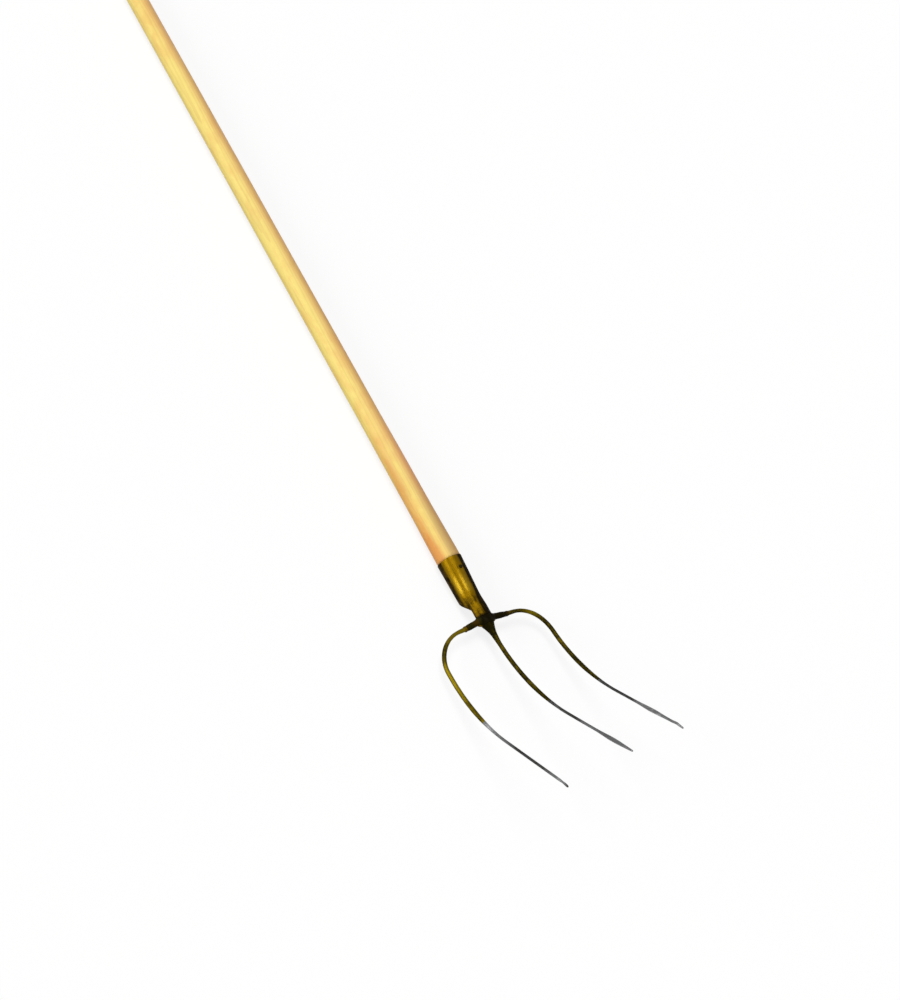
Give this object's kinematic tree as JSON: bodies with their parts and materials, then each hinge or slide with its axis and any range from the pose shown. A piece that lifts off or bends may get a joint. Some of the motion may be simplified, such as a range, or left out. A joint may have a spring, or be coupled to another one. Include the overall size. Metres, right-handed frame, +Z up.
{
  "type": "three-tine fork",
  "caption": "Long-handled hay fork: a round wooden shaft set in a rolled sheet socket, and a forged hub with slender tines that curve upwards to bare, ground points.",
  "frame": {"origin": "middle of the fork's base: halfway along its length and its width, on the surface that it lies on with its hollow side up", "axes": "+X along the handle towards the points, +Y to the left of the person who holds the handle, +Z up, on the hollow side of the tines"},
  "size_m": [1.6466, 0.199, 0.1533],
  "materials": {
    "ash_wood": "smooth, lightly waxed, straight pale grain with warmer patches near the socket",
    "gold_lacquer": "glossy gold-bronze lacquer over forged steel, darker in the hollows; the tine points are ground back to bare grey steel",
    "dark_lacquer": "dark olive-black lacquer over scaled forged steel",
    "nail_iron": "dark iron with old lacquer"
  },
  "bodies": {
    "root": {"handle": "ash_wood", "socket": "gold_lacquer", "socket_nail": "nail_iron", "hub": "dark_lacquer", "tine_left": "gold_lacquer", "tine_centre": "gold_lacquer", "tine_right": "gold_lacquer", "arm_beads": "gold_lacquer", "root_beads": "gold_lacquer", "neck_beads": "dark_lacquer"}
  },
  "joints": []
}
